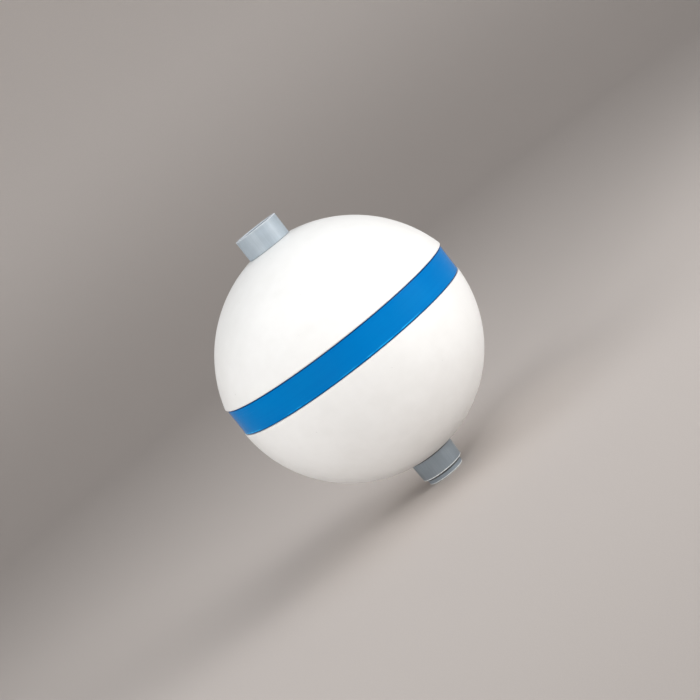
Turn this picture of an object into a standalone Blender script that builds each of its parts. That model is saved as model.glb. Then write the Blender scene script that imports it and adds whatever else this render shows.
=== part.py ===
"""In-line ball-float valve: two moulded shells around a float that shuts the upper port.

The valve stands on its axis. The origin is the centre of the lower port's end face and +Z runs up the
axis to the upper port. Every size below is in millimetres; the meshes are made in metres.
"""

import math

import bmesh
import bpy
from mathutils import Matrix, Vector

MM = 0.001
GAP = 0.3                    # clearance kept between neighbouring pieces
ON_AXIS = 0.001              # a smaller radius is a point on the axis

# Shells
BOWL_CENTRE = 197.0          # height of the lower shell's sphere centre
BOWL_R = 165.5
BOWL_INNER_R = 160.5
DOME_CENTRE = 185.3          # the upper shell is a shallower cap of a larger sphere
DOME_R = 172.75
DOME_INNER_R = 168.0
BOWL_FLAT = 34.3             # outer flat that the lower socket seats on
DOME_FLAT = 355.4            # outer flat that the upper socket seats on
PAD_DEPTH = 7.0              # wall thickness at the two flats
PORT_HOLE_R = 24.3
RIM_ROUND = 1.5              # rounding of the dome's rim
BOWL_ROUND = 0.6

# Joint between the shells
BAND_BOTTOM = 194.1
BAND_TOP = 231.0
BAND_R = 164.85
NECK_R = 161.0
NECK_INNER_R = 156.5
SPLIT = 212.5                # height where the two necks meet
SPIGOT_INNER_R = 149.5
SPIGOT_HALF = 17.0
ORING_R = 1.75
ORING_OFFSET = 9.0
GROOVE_HALF = 2.2

# Sockets and reducing bush
VALVE_TOP = 384.3
UPPER_SOCKET_R = 29.8
LOWER_SOCKET_R = 29.6        # at the shell
LOWER_MOUTH_R = 28.55        # the lower socket tapers to this at its mouth
LOWER_MOUTH = 8.4
SOCKET_BORE_R = 25.2
SOCKET_STOP = 4.4            # wall left between the socket's bore and its shoulder
THREAD_R = 23.9
PASSAGE_R = 20.0
BUSH_R = 24.9
BUSH_BORE_R = 20.1
BUSH_STOP_R = 17.5
BUSH_STOP = 26.0
BUSH_TOP = 29.7

# Clamping of the sockets
GASKET_R = 35.0
GASKET_THICK = 2.0
BACKNUT_FLATS = 62.0
BACKNUT_THICK = 9.0
BACKNUT_BORE_R = 24.2
LOWER_THREAD_END = 56.0
UPPER_THREAD_END = 327.0

# Seat under the upper port
HOLDER_TOP = 336.5
HOLDER_HUB_R = 34.0
HOLDER_R = 70.0
HOLDER_BOTTOM = 319.0
HOLDER_FLANGE = 6.0
RECESS_R = 24.3
RECESS_DEPTH = 3.3
HOLDER_FLOOR = 326.7
SEAT_BORE_R = 15.5
SEAT_FACE = 315.7            # height of the edge that the ball closes on
SEAT_EDGE_R = 17.0
SEAT_LIP_R = 20.5
RETAINER_INNER_R = 21.0
RETAINER_THICK = 2.5
SCREW_CIRCLE_R = 29.0
SCREW_R = 1.9
SCREW_HEAD_R = 3.6
SCREW_HEAD = 2.2
SCREW_TOP = 325.0

# Float
FLOAT_R = 58.0
FLOAT_WALL = 2.5
FLOAT_LIP = 3.0

# Cage that guides the float
ROD_CIRCLE_R = 63.0
ROD_R = 3.5
ROD_END_R = 2.4
ROD_HOLE_R = 2.7
ROD_COUNT = 4
NUT_CORNER_R = 4.9
NUT_THICK = 4.0
NUT_STUB = 1.2               # thread that stands out of each nut
CAGE_BOTTOM = 66.0
CAGE_THICK = 6.0
CAGE_INNER_R = 56.0
HUB_R = 29.0
HUB_BORE_R = 20.0
ARM_HALF = 4.5
PAD_BORE_R = 17.7
PAD_EDGE_R = 21.0            # the ball rests on this edge
PAD_R = 27.0
PAD_TOP = CAGE_BOTTOM + CAGE_THICK + GAP + 3.0

# Faceting
SHELL_STEPS = 40
SOCKET_STEPS = 28
SMALL_STEPS = 10

FLOAT_REST = PAD_TOP + math.sqrt(FLOAT_R ** 2 - PAD_EDGE_R ** 2) + GAP

PLASTIC_WHITE = ("white_shell", (0.83, 0.83, 0.81), 0.38, 0.0)
PLASTIC_BLUE = ("blue_band", (0.0, 0.19, 0.52), 0.18, 0.0)
PVC_GREY = ("grey_pvc", (0.38, 0.43, 0.46), 0.42, 0.0)
MOULDED_BLACK = ("black_moulding", (0.03, 0.03, 0.032), 0.5, 0.0)
RUBBER_BLACK = ("black_rubber", (0.015, 0.015, 0.015), 0.7, 0.0)
STEEL = ("stainless_steel", (0.62, 0.62, 0.6), 0.28, 1.0)
FLOAT_PLASTIC = ("float_plastic", (0.74, 0.70, 0.60), 0.35, 0.0)


def clear_scene():
    for old in list(bpy.data.objects):
        bpy.data.objects.remove(old, do_unlink=True)


def make_collection(name):
    collection = bpy.data.collections.new(name)
    bpy.context.scene.collection.children.link(collection)
    return collection


def material(finish):
    name, colour, roughness, metallic = finish
    found = bpy.data.materials.get(name)
    if found:
        return found
    made = bpy.data.materials.new(name)
    made.use_nodes = True
    shader = made.node_tree.nodes["Principled BSDF"]
    shader.inputs["Base Color"].default_value = (*colour, 1.0)
    shader.inputs["Roughness"].default_value = roughness
    shader.inputs["Metallic"].default_value = metallic
    return made


def add_object(name, mesh, collection, finish=None):
    obj = bpy.data.objects.new(name, mesh)
    collection.objects.link(obj)
    if finish:
        mesh.materials.clear()
        mesh.materials.append(material(finish))
    return obj


def smooth(mesh):
    mesh.shade_smooth()
    mesh.set_sharp_from_angle(angle=math.radians(32))


def apply_modifiers(obj):
    """Gives the object the mesh that its modifiers make, shaded smooth between its sharp edges."""
    depsgraph = bpy.context.evaluated_depsgraph_get()
    mesh = bpy.data.meshes.new_from_object(obj.evaluated_get(depsgraph))
    obj.modifiers.clear()
    obj.data = mesh
    smooth(mesh)


def turned(name, profile, finish, steps):
    """Turns a profile of (radius, height) points about Z. It runs down its outer side, top to bottom.

    A profile that starts and ends on the axis stays open there; any other is a closed loop.
    """
    mesh = bpy.data.meshes.new(name)
    count = len(profile)
    edges = [(i, i + 1) for i in range(count - 1)]
    if profile[0][0] > ON_AXIS:
        edges.append((count - 1, 0))
    mesh.from_pydata([(r * MM, 0.0, z * MM) for r, z in profile], edges, [])
    obj = add_object(name, mesh, PARTS, finish)
    screw = obj.modifiers.new("Turn", "SCREW")
    screw.axis = "Z"
    screw.angle = math.tau
    screw.steps = steps
    screw.render_steps = steps
    screw.use_merge_vertices = True
    screw.merge_threshold = 0.00001
    apply_modifiers(obj)
    return obj


def arc(centre_r, centre_z, radius, start, end, count):
    """Points of an arc in a profile; angles in degrees, measured up from the outward direction."""
    points = []
    for i in range(count + 1):
        angle = math.radians(start + (end - start) * i / count)
        points.append((centre_r + radius * math.cos(angle), centre_z + radius * math.sin(angle)))
    return points


def latitude(radius, centre, height):
    """The angle above the equator at which a sphere reaches a height."""
    return math.degrees(math.asin((height - centre) / radius))


def ring(outer, inner, top, bottom):
    return [(outer, top), (outer, bottom), (inner, bottom), (inner, top)]


def on_circle(radius, index, count, offset=0.0):
    angle = math.tau * (index + offset) / count
    return Vector((radius * math.cos(angle), radius * math.sin(angle), 0.0))


def cylinders(name, places, radius, bottom, top, collection, steps=SMALL_STEPS):
    """One mesh of upright cylinders at the given places."""
    shape = bmesh.new()
    for place in places:
        centre = Vector((place.x, place.y, (bottom + top) / 2)) * MM
        bmesh.ops.create_cone(
            shape, cap_ends=True, segments=steps, radius1=radius * MM, radius2=radius * MM,
            depth=(top - bottom) * MM, matrix=Matrix.Translation(centre))
    mesh = bpy.data.meshes.new(name)
    shape.to_mesh(mesh)
    shape.free()
    return add_object(name, mesh, collection)


def cut(obj, cutter):
    cutter.hide_render = True
    cutter.display_type = "WIRE"
    boolean = obj.modifiers.new(cutter.name, "BOOLEAN")
    boolean.operation = "DIFFERENCE"
    boolean.solver = "EXACT"
    boolean.object = cutter
    bpy.context.view_layer.update()
    apply_modifiers(obj)


def make_shells():
    rim_z = BAND_TOP + RIM_ROUND
    rim_r = math.sqrt((DOME_R - RIM_ROUND) ** 2 - (rim_z - DOME_CENTRE) ** 2)
    rim_angle = latitude(DOME_R - RIM_ROUND, DOME_CENTRE, rim_z)
    inner_join = DOME_CENTRE + math.sqrt(DOME_INNER_R ** 2 - NECK_INNER_R ** 2)
    pad = DOME_FLAT - PAD_DEPTH
    dome = [(PORT_HOLE_R, DOME_FLAT)]
    dome += arc(0, DOME_CENTRE, DOME_R, latitude(DOME_R, DOME_CENTRE, DOME_FLAT), rim_angle, 8)
    dome += arc(rim_r, rim_z, RIM_ROUND, rim_angle, -90, 3)[1:]
    dome += [(NECK_R, BAND_TOP), (NECK_R, SPLIT + GAP), (NECK_INNER_R, SPLIT + GAP)]
    dome += arc(0, DOME_CENTRE, DOME_INNER_R, latitude(DOME_INNER_R, DOME_CENTRE, inner_join),
                latitude(DOME_INNER_R, DOME_CENTRE, pad), 5)
    dome += [(PORT_HOLE_R, pad)]
    turned("upper_dome", dome, PLASTIC_WHITE, SHELL_STEPS)

    top_z = BAND_BOTTOM - BOWL_ROUND
    top_r = math.sqrt((BOWL_R - BOWL_ROUND) ** 2 - (top_z - BOWL_CENTRE) ** 2)
    top_angle = latitude(BOWL_R - BOWL_ROUND, BOWL_CENTRE, top_z)
    inner_join = BOWL_CENTRE - math.sqrt(BOWL_INNER_R ** 2 - NECK_INNER_R ** 2)
    pad = BOWL_FLAT + PAD_DEPTH
    bowl = [(NECK_R, SPLIT - GAP), (NECK_R, BAND_BOTTOM)]
    bowl += arc(top_r, top_z, BOWL_ROUND, 90, top_angle, 2)
    bowl += arc(0, BOWL_CENTRE, BOWL_R, top_angle, latitude(BOWL_R, BOWL_CENTRE, BOWL_FLAT), 10)[1:]
    bowl += [(PORT_HOLE_R, BOWL_FLAT), (PORT_HOLE_R, pad)]
    bowl += arc(0, BOWL_CENTRE, BOWL_INNER_R, latitude(BOWL_INNER_R, BOWL_CENTRE, pad),
                latitude(BOWL_INNER_R, BOWL_CENTRE, inner_join), 6)
    bowl += [(NECK_INNER_R, SPLIT - GAP)]
    turned("lower_bowl", bowl, PLASTIC_WHITE, SHELL_STEPS)


def make_joint():
    edge = 0.6
    top = BAND_TOP - GAP
    bottom = BAND_BOTTOM + GAP
    band = [(BAND_R - edge, top), (BAND_R, top - edge), (BAND_R, bottom + edge),
            (BAND_R - edge, bottom), (NECK_R + GAP, bottom), (NECK_R + GAP, top)]
    turned("joint_band", band, PLASTIC_BLUE, SHELL_STEPS)

    outer = NECK_INNER_R - GAP
    ring_r = NECK_INNER_R - ORING_R - 0.5
    groove_r = ring_r - ORING_R - GAP
    spigot = [(outer, SPLIT + SPIGOT_HALF)]
    for middle in (SPLIT + ORING_OFFSET, SPLIT - ORING_OFFSET):
        spigot += [(outer, middle + GROOVE_HALF), (groove_r, middle + GROOVE_HALF),
                   (groove_r, middle - GROOVE_HALF), (outer, middle - GROOVE_HALF)]
    spigot += [(outer, SPLIT - SPIGOT_HALF), (SPIGOT_INNER_R, SPLIT - SPIGOT_HALF),
               (SPIGOT_INNER_R, SPLIT + SPIGOT_HALF)]
    turned("joint_spigot", spigot, MOULDED_BLACK, SHELL_STEPS)

    for name, middle in (("upper_joint_oring", SPLIT + ORING_OFFSET),
                         ("lower_joint_oring", SPLIT - ORING_OFFSET)):
        section = arc(ring_r, middle, ORING_R, 90, -270, 5)[:-1]
        turned(name, section, RUBBER_BLACK, SHELL_STEPS)


def make_sockets():
    shoulder = DOME_FLAT + GAP
    upper = [(SOCKET_BORE_R + 0.8, VALVE_TOP), (UPPER_SOCKET_R - 0.3, VALVE_TOP),
             (UPPER_SOCKET_R, VALVE_TOP - 0.3), (UPPER_SOCKET_R, shoulder), (THREAD_R, shoulder),
             (THREAD_R, UPPER_THREAD_END), (PASSAGE_R, UPPER_THREAD_END),
             (PASSAGE_R, shoulder + SOCKET_STOP), (SOCKET_BORE_R, shoulder + SOCKET_STOP),
             (SOCKET_BORE_R, VALVE_TOP - 0.8)]
    turned("upper_socket", upper, PVC_GREY, SOCKET_STEPS)

    shoulder = BOWL_FLAT - GAP
    edge = 0.9
    lead_in = 4.5
    lower = [(THREAD_R, LOWER_THREAD_END), (THREAD_R, shoulder), (LOWER_SOCKET_R, shoulder),
             (LOWER_MOUTH_R, LOWER_MOUTH + edge), (LOWER_MOUTH_R - edge, LOWER_MOUTH),
             (SOCKET_BORE_R + 1.9, LOWER_MOUTH), (SOCKET_BORE_R, LOWER_MOUTH + lead_in),
             (SOCKET_BORE_R, BUSH_TOP + GAP),
             (PASSAGE_R, BUSH_TOP + GAP), (PASSAGE_R, LOWER_THREAD_END)]
    turned("lower_socket", lower, PVC_GREY, SOCKET_STEPS)

    edge = 1.2
    bush = [(BUSH_R, BUSH_TOP), (BUSH_R, edge), (BUSH_R - edge, 0), (BUSH_BORE_R + 1, 0),
            (BUSH_BORE_R, 1), (BUSH_BORE_R, BUSH_STOP), (BUSH_STOP_R, BUSH_STOP), (BUSH_STOP_R, BUSH_TOP)]
    turned("lower_bush", bush, PVC_GREY, SOCKET_STEPS)


def hex_nut(name, flats, thick, bore, bottom, finish):
    """A hexagonal nut on the Z axis with its lower face at a height."""
    shape = bmesh.new()
    corner = flats / math.sqrt(3)
    centre = Vector((0, 0, bottom + thick / 2)) * MM
    bmesh.ops.create_cone(
        shape, cap_ends=True, segments=6, radius1=corner * MM, radius2=corner * MM,
        depth=thick * MM, matrix=Matrix.Translation(centre))
    mesh = bpy.data.meshes.new(name)
    shape.to_mesh(mesh)
    shape.free()
    nut = add_object(name, mesh, PARTS, finish)
    steps = SOCKET_STEPS if bore > 10 else SMALL_STEPS
    cut(nut, cylinders(name + "_bore", [Vector()], bore, bottom - 1, bottom + thick + 1, CUTTERS, steps))
    return nut


def make_clamping():
    top = DOME_FLAT - PAD_DEPTH - GAP
    turned("upper_gasket", ring(GASKET_R, PORT_HOLE_R, top, top - GASKET_THICK), RUBBER_BLACK, SOCKET_STEPS)
    nut_bottom = top - GASKET_THICK - GAP - BACKNUT_THICK
    hex_nut("upper_backnut", BACKNUT_FLATS, BACKNUT_THICK, BACKNUT_BORE_R, nut_bottom, PVC_GREY)

    bottom = BOWL_FLAT + PAD_DEPTH + GAP
    turned("lower_gasket", ring(GASKET_R, PORT_HOLE_R, bottom + GASKET_THICK, bottom), RUBBER_BLACK,
           SOCKET_STEPS)
    nut_bottom = bottom + GASKET_THICK + GAP
    hex_nut("lower_backnut", BACKNUT_FLATS, BACKNUT_THICK, BACKNUT_BORE_R, nut_bottom, PVC_GREY)


def make_seat():
    rods = [on_circle(ROD_CIRCLE_R, i, ROD_COUNT, 0.5) for i in range(ROD_COUNT)]
    screws = [on_circle(SCREW_CIRCLE_R, i, ROD_COUNT) for i in range(ROD_COUNT)]
    flange_top = HOLDER_BOTTOM + HOLDER_FLANGE
    recess_top = HOLDER_BOTTOM + RECESS_DEPTH
    holder = [(HOLDER_HUB_R, HOLDER_TOP), (HOLDER_HUB_R, flange_top), (HOLDER_R, flange_top),
              (HOLDER_R, HOLDER_BOTTOM), (RECESS_R, HOLDER_BOTTOM), (RECESS_R, recess_top),
              (SEAT_BORE_R, recess_top), (SEAT_BORE_R, HOLDER_FLOOR), (BACKNUT_BORE_R, HOLDER_FLOOR),
              (BACKNUT_BORE_R, HOLDER_TOP)]
    body = turned("seat_holder", holder, MOULDED_BLACK, SOCKET_STEPS)
    cut(body, cylinders("holder_rod_holes", rods, ROD_HOLE_R, HOLDER_BOTTOM - 1, flange_top + 1, CUTTERS))
    cut(body, cylinders("holder_screw_holes", screws, SCREW_R + GAP, HOLDER_BOTTOM - 1, SCREW_TOP + GAP,
                        CUTTERS))

    retainer_top = HOLDER_BOTTOM - GAP
    retainer_bottom = retainer_top - RETAINER_THICK
    seat = [(RECESS_R - GAP, recess_top - GAP), (RECESS_R - GAP, retainer_top + GAP),
            (SEAT_LIP_R, retainer_top + GAP), (SEAT_LIP_R, SEAT_FACE), (SEAT_EDGE_R, SEAT_FACE),
            (SEAT_BORE_R, SEAT_FACE + 2.3), (SEAT_BORE_R, recess_top - GAP)]
    turned("seat_ring", seat, RUBBER_BLACK, SOCKET_STEPS)

    plate = turned("seat_retainer", ring(HOLDER_HUB_R, RETAINER_INNER_R, retainer_top, retainer_bottom),
                   STEEL, SOCKET_STEPS)
    cut(plate, cylinders("retainer_holes", screws, SCREW_R + GAP, retainer_bottom - 1, retainer_top + 1,
                         CUTTERS))

    head_top = retainer_bottom - GAP
    screw = [(0, SCREW_TOP), (SCREW_R, SCREW_TOP), (SCREW_R, head_top), (SCREW_HEAD_R, head_top),
             (SCREW_HEAD_R, head_top - SCREW_HEAD + 0.7), (SCREW_HEAD_R - 0.9, head_top - SCREW_HEAD),
             (0, head_top - SCREW_HEAD)]
    repeat(turned("seat_screw_1", screw, STEEL, SMALL_STEPS), "seat_screw", screws)


def repeat(first, name, places):
    """Stands the first piece and its copies at the places, numbered from 1. They share one mesh."""
    first.location = places[0] * MM
    for number, place in enumerate(places[1:], start=2):
        other = bpy.data.objects.new(f"{name}_{number}", first.data)
        other.location = place * MM
        PARTS.objects.link(other)


def outline(curve, points):
    spline = curve.splines.new("POLY")
    spline.points.add(len(points) - 1)
    for slot, (x, y) in zip(spline.points, points):
        slot.co = (x * MM, y * MM, 0.0, 1.0)
    spline.use_cyclic_u = True


def circle_points(radius, count, centre=Vector()):
    return [tuple((centre + on_circle(radius, i, count)).xy) for i in range(count)]


def window_points(index):
    """One opening of the cage ring: the quarter between two arms, from the hub out to the rim."""
    points = []
    for radius, direction, count in ((CAGE_INNER_R, 1, 8), (HUB_R, -1, 5)):
        inset = math.asin(ARM_HALF / radius)
        span = math.tau / ROD_COUNT - 2 * inset
        for step in range(count + 1):
            along = step / count if direction > 0 else 1 - step / count
            angle = math.tau * (index + 0.5) / ROD_COUNT + inset + span * along
            points.append((radius * math.cos(angle), radius * math.sin(angle)))
    return points


def make_cage():
    rods = [on_circle(ROD_CIRCLE_R, i, ROD_COUNT, 0.5) for i in range(ROD_COUNT)]
    curve = bpy.data.curves.new("cage_outline", "CURVE")
    curve.dimensions = "2D"
    curve.fill_mode = "BOTH"
    curve.extrude = CAGE_THICK / 2 * MM
    outline(curve, circle_points(HOLDER_R, SOCKET_STEPS))
    outline(curve, circle_points(HUB_BORE_R, SOCKET_STEPS))
    for index in range(ROD_COUNT):
        outline(curve, window_points(index))
    for rod in rods:
        outline(curve, circle_points(ROD_HOLE_R, SMALL_STEPS, rod))
    flat = add_object("cage_outline", curve, CUTTERS)
    depsgraph = bpy.context.evaluated_depsgraph_get()
    mesh = bpy.data.meshes.new_from_object(flat.evaluated_get(depsgraph))
    mesh.name = "cage_ring"
    shape = bmesh.new()
    shape.from_mesh(mesh)
    bmesh.ops.remove_doubles(shape, verts=shape.verts, dist=0.00001)
    bmesh.ops.recalc_face_normals(shape, faces=shape.faces)
    shape.to_mesh(mesh)
    shape.free()
    bpy.data.objects.remove(flat)
    cage = add_object("cage_ring", mesh, PARTS, MOULDED_BLACK)
    cage.location.z = (CAGE_BOTTOM + CAGE_THICK / 2) * MM

    cage_top = CAGE_BOTTOM + CAGE_THICK
    pad = [(PAD_EDGE_R, PAD_TOP), (PAD_R, PAD_TOP), (PAD_R, cage_top + GAP),
           (HUB_BORE_R - GAP, cage_top + GAP), (HUB_BORE_R - GAP, CAGE_BOTTOM + 1),
           (PAD_BORE_R, CAGE_BOTTOM + 1), (PAD_BORE_R, PAD_TOP - 1.8)]
    turned("rest_pad", pad, RUBBER_BLACK, SOCKET_STEPS)

    flange_top = HOLDER_BOTTOM + HOLDER_FLANGE
    top_nut = flange_top + GAP
    bottom_nut = CAGE_BOTTOM - GAP - NUT_THICK
    stud_top = top_nut + NUT_THICK + NUT_STUB
    stud_bottom = bottom_nut - NUT_STUB
    rod = [(0, stud_top), (ROD_END_R, stud_top), (ROD_END_R, HOLDER_BOTTOM - GAP),
           (ROD_R, HOLDER_BOTTOM - GAP), (ROD_R, cage_top + GAP), (ROD_END_R, cage_top + GAP),
           (ROD_END_R, stud_bottom), (0, stud_bottom)]
    repeat(turned("guide_rod_1", rod, STEEL, SMALL_STEPS), "guide_rod", rods)
    flats = NUT_CORNER_R * math.sqrt(3)
    for name, bottom in (("rod_top_nut", top_nut), ("rod_bottom_nut", bottom_nut)):
        repeat(hex_nut(name + "_1", flats, NUT_THICK, ROD_HOLE_R, bottom, STEEL), name, rods)


def make_float():
    """The float's two half shells, under an empty at the ball's centre in its resting place."""
    centre = bpy.data.objects.new("float_centre", None)
    centre.location.z = FLOAT_REST * MM
    PARTS.objects.link(centre)
    inner = FLOAT_R - FLOAT_WALL
    seam = GAP / 2
    outer_seam = latitude(FLOAT_R, 0, seam)
    upper = arc(0, 0, FLOAT_R, 90, outer_seam, 8)
    upper += arc(0, 0, inner, latitude(inner, 0, seam), 90, 5)

    lip_r = inner - 2 * GAP
    lip_inner = lip_r - FLOAT_WALL
    lower = arc(0, 0, inner, -90, -math.degrees(math.acos(lip_inner / inner)), 5)
    lower += [(lip_inner, FLOAT_LIP), (lip_r, FLOAT_LIP), (lip_r, -seam)]
    lower += arc(0, 0, FLOAT_R, -outer_seam, -90, 8)
    for name, profile in (("float_upper_half", upper), ("float_lower_half", lower)):
        half = turned(name, profile, FLOAT_PLASTIC, SOCKET_STEPS)
        half.parent = centre


clear_scene()
PARTS = make_collection("float_valve")
CUTTERS = make_collection("cutters")
make_shells()
make_joint()
make_sockets()
make_clamping()
make_seat()
make_cage()
make_float()
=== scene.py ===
import math

import bmesh
import bpy
from mathutils import Matrix, Vector


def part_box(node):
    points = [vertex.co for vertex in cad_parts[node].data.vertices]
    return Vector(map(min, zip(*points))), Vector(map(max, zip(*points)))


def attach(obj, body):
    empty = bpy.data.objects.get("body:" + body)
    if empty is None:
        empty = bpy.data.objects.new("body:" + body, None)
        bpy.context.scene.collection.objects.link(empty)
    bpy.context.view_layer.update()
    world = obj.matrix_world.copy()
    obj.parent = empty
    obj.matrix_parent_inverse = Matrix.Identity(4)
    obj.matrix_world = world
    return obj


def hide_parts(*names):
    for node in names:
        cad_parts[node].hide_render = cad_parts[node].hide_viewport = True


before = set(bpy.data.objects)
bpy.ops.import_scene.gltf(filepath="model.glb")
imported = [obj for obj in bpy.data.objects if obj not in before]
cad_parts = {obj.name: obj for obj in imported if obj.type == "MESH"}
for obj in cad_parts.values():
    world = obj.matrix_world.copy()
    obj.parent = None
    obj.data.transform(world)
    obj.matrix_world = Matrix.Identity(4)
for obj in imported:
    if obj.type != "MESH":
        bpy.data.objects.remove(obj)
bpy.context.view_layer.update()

# Sizes are in millimetres unless a line says otherwise; meshes are made in metres.
mm = 0.001
weld = 0.000002          # points closer than this are joined, in metres


class Wire:
    # an output socket that can be used in sums, in shader and in geometry trees

    def __init__(self, tree, socket):
        self.tree = tree
        self.socket = socket

    def node(self, kind, settings=None, inputs=None, out=0):
        made = self.tree.nodes.new(kind)
        for key, value in (settings or {}).items():
            setattr(made, key, value)
        for key, value in (inputs or {}).items():
            if isinstance(value, Wire):
                self.tree.links.new(value.socket, made.inputs[key])
            else:
                made.inputs[key].default_value = value
        return Wire(self.tree, made.outputs[out])

    def sibling(self, out):
        return Wire(self.tree, self.socket.node.outputs[out])

    def maths(self, operation, *values):
        return self.node("ShaderNodeMath", {"operation": operation}, dict(enumerate(values)))

    def __add__(self, other):
        return self.maths("ADD", self, other)

    def __radd__(self, other):
        return self.maths("ADD", other, self)

    def __sub__(self, other):
        return self.maths("SUBTRACT", self, other)

    def __rsub__(self, other):
        return self.maths("SUBTRACT", other, self)

    def __mul__(self, other):
        return self.maths("MULTIPLY", self, other)

    def __truediv__(self, other):
        return self.maths("DIVIDE", self, other)

    def __rtruediv__(self, other):
        return self.maths("DIVIDE", other, self)

    def __mod__(self, other):
        return self.maths("FLOORED_MODULO", self, other)

    def ramp(self, low, high):
        # 0 at low, 1 at high, smooth between
        return self.node("ShaderNodeMapRange", {"interpolation_type": "SMOOTHSTEP"},
                         {"Value": self, "From Min": low, "From Max": high})

    def xyz(self):
        x = self.node("ShaderNodeSeparateXYZ", None, {0: self}, 0)
        return x, x.sibling(1), x.sibling(2)

    def combine(self, x, y, z):
        return self.node("ShaderNodeCombineXYZ", None, {0: x, 1: y, 2: z})

    def scaled(self, x, y, z):
        return self.node("ShaderNodeVectorMath", {"operation": "MULTIPLY"}, {0: self, 1: (x, y, z)})

    def noise(self, scale, detail=2.0, roughness=0.5):
        return self.node("ShaderNodeTexNoise", None,
                         {"Vector": self, "Scale": scale, "Detail": detail, "Roughness": roughness})

    def mix(self, first, second):
        # self is the factor between two colours
        return self.node("ShaderNodeMix", {"data_type": "RGBA"},
                         {0: self, 6: asColour(first), 7: asColour(second)}, 2)


def asColour(value):
    return value if isinstance(value, Wire) else (*value, 1.0)


def startMaterial(name):
    # returns the material, a function that feeds its shader, and the object coordinates
    made = bpy.data.materials.new(name)
    made.use_nodes = True
    tree = made.node_tree
    shader = tree.nodes["Principled BSDF"]

    def feed(socket, value):
        if isinstance(value, Wire):
            tree.links.new(value.socket, shader.inputs[socket])
        else:
            shader.inputs[socket].default_value = value

    coords = Wire(tree, tree.nodes.new("ShaderNodeTexCoord").outputs["Object"])
    return made, feed, coords


def aroundAxis(coords):
    # distance from the axis, angle round it in radians, and height
    x, y, z = coords.xyz()
    radius = coords.maths("SQRT", x * x + y * y)
    angle = coords.maths("ARCTAN2", y, x)
    return radius, angle, z


def bumped(coords, height, strength, distance):
    return coords.node("ShaderNodeBump", None, {"Height": height, "Strength": strength, "Distance": distance})


def specks(coords, cell, size, share):
    # sparse round marks: cell is their spacing and size their radius, both in metres
    dots = coords.node("ShaderNodeTexVoronoi", {"feature": "F1"}, {"Vector": coords, "Scale": 1 / cell})
    pick, _, _ = dots.sibling("Color").xyz()
    inside = 1 - dots.ramp(0.5 * size / cell, size / cell)
    return inside * pick.ramp(1 - share, 1.02 - share)


def hairlines(coords, stretch, breakUp, amount):
    # fine straight scratches: a noise stretched along one direction, cut high and broken up
    lines = coords.scaled(*stretch).noise(1.0, 1.0)
    breaks = coords.noise(breakUp, 2.0)
    return lines.ramp(1 - amount, 1.03 - amount) * breaks.ramp(0.5, 0.62)


# the dark grey used near the axis is painted shade where the sockets meet the shells
shellLook = {
    "light": (0.86, 0.862, 0.85), "shade": (0.815, 0.815, 0.80), "speck": (0.30, 0.29, 0.28),
    "dust": (0.30, 0.33, 0.40), "socketShade": (0.24, 0.24, 0.24), "socketShadeRadius": (0.0298, 0.0318),
    "roughness": 0.36, "roughSpread": 0.12, "peel": 0.0030, "grain": 0.00045,
}


def makeShellMaterial(seams):
    # satin moulded white plastic; dust gathers at the seams' heights, and painted shade darkens it where the
    # sockets stand
    look = shellLook
    made, feed, coords = startMaterial("white_shell_satin")
    radius, _, z = aroundAxis(coords)
    cloud = coords.noise(9.0, 4.0, 0.55)
    fine = coords.noise(60.0, 3.0)
    tone = (cloud * 0.7 + fine * 0.3).ramp(0.35, 0.68)
    colour = tone.mix(look["light"], look["shade"])
    marks = specks(coords, 0.041, 0.0011, 0.45) * 0.55 + specks(coords, 0.017, 0.0005, 0.60) * 0.6
    colour = marks.mix(colour, look["speck"])
    dust = coords.noise(240.0, 3.0).ramp(0.3, 0.75)
    for height in seams:
        near = 1 - coords.maths("ABSOLUTE", z - height).ramp(0.0001, 0.0009)
        colour = (near * (0.10 + dust * 0.35)).mix(colour, look["dust"])
    # painted shade round the sockets, broken up by the dust noise
    nearAxis = 1 - radius.ramp(*look["socketShadeRadius"])
    colour = (nearAxis * (0.35 + dust * 0.35)).mix(colour, look["socketShade"])
    feed("Base Color", colour)
    smudge = coords.noise(17.0, 5.0, 0.6).ramp(0.35, 0.75)
    scuffs = hairlines(coords, (35.0, 700.0, 220.0), 21.0, 0.30)
    scuffs = scuffs + hairlines(coords, (620.0, 26.0, 380.0), 26.0, 0.30)
    feed("Roughness", look["roughness"] + smudge * look["roughSpread"] + scuffs * 0.10)
    relief = coords.noise(1 / look["peel"], 2.0) * 0.75 + coords.noise(1 / look["grain"], 2.0) * 0.25
    relief = relief - scuffs * 0.35
    feed("Normal", bumped(coords, relief, 0.22, 0.00006))
    feed("Specular IOR Level", 0.5)
    return made


# the pale edge colour is a painted highlight and the darkest blue is painted shade at the band's edges
bandLook = {
    "deep": (0.000, 0.170, 0.500), "bright": (0.000, 0.192, 0.530), "edge": (0.02, 0.42, 0.80),
    "grooveShade": (0.000, 0.045, 0.190), "highlightHeight": 0.0022,
}


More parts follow.
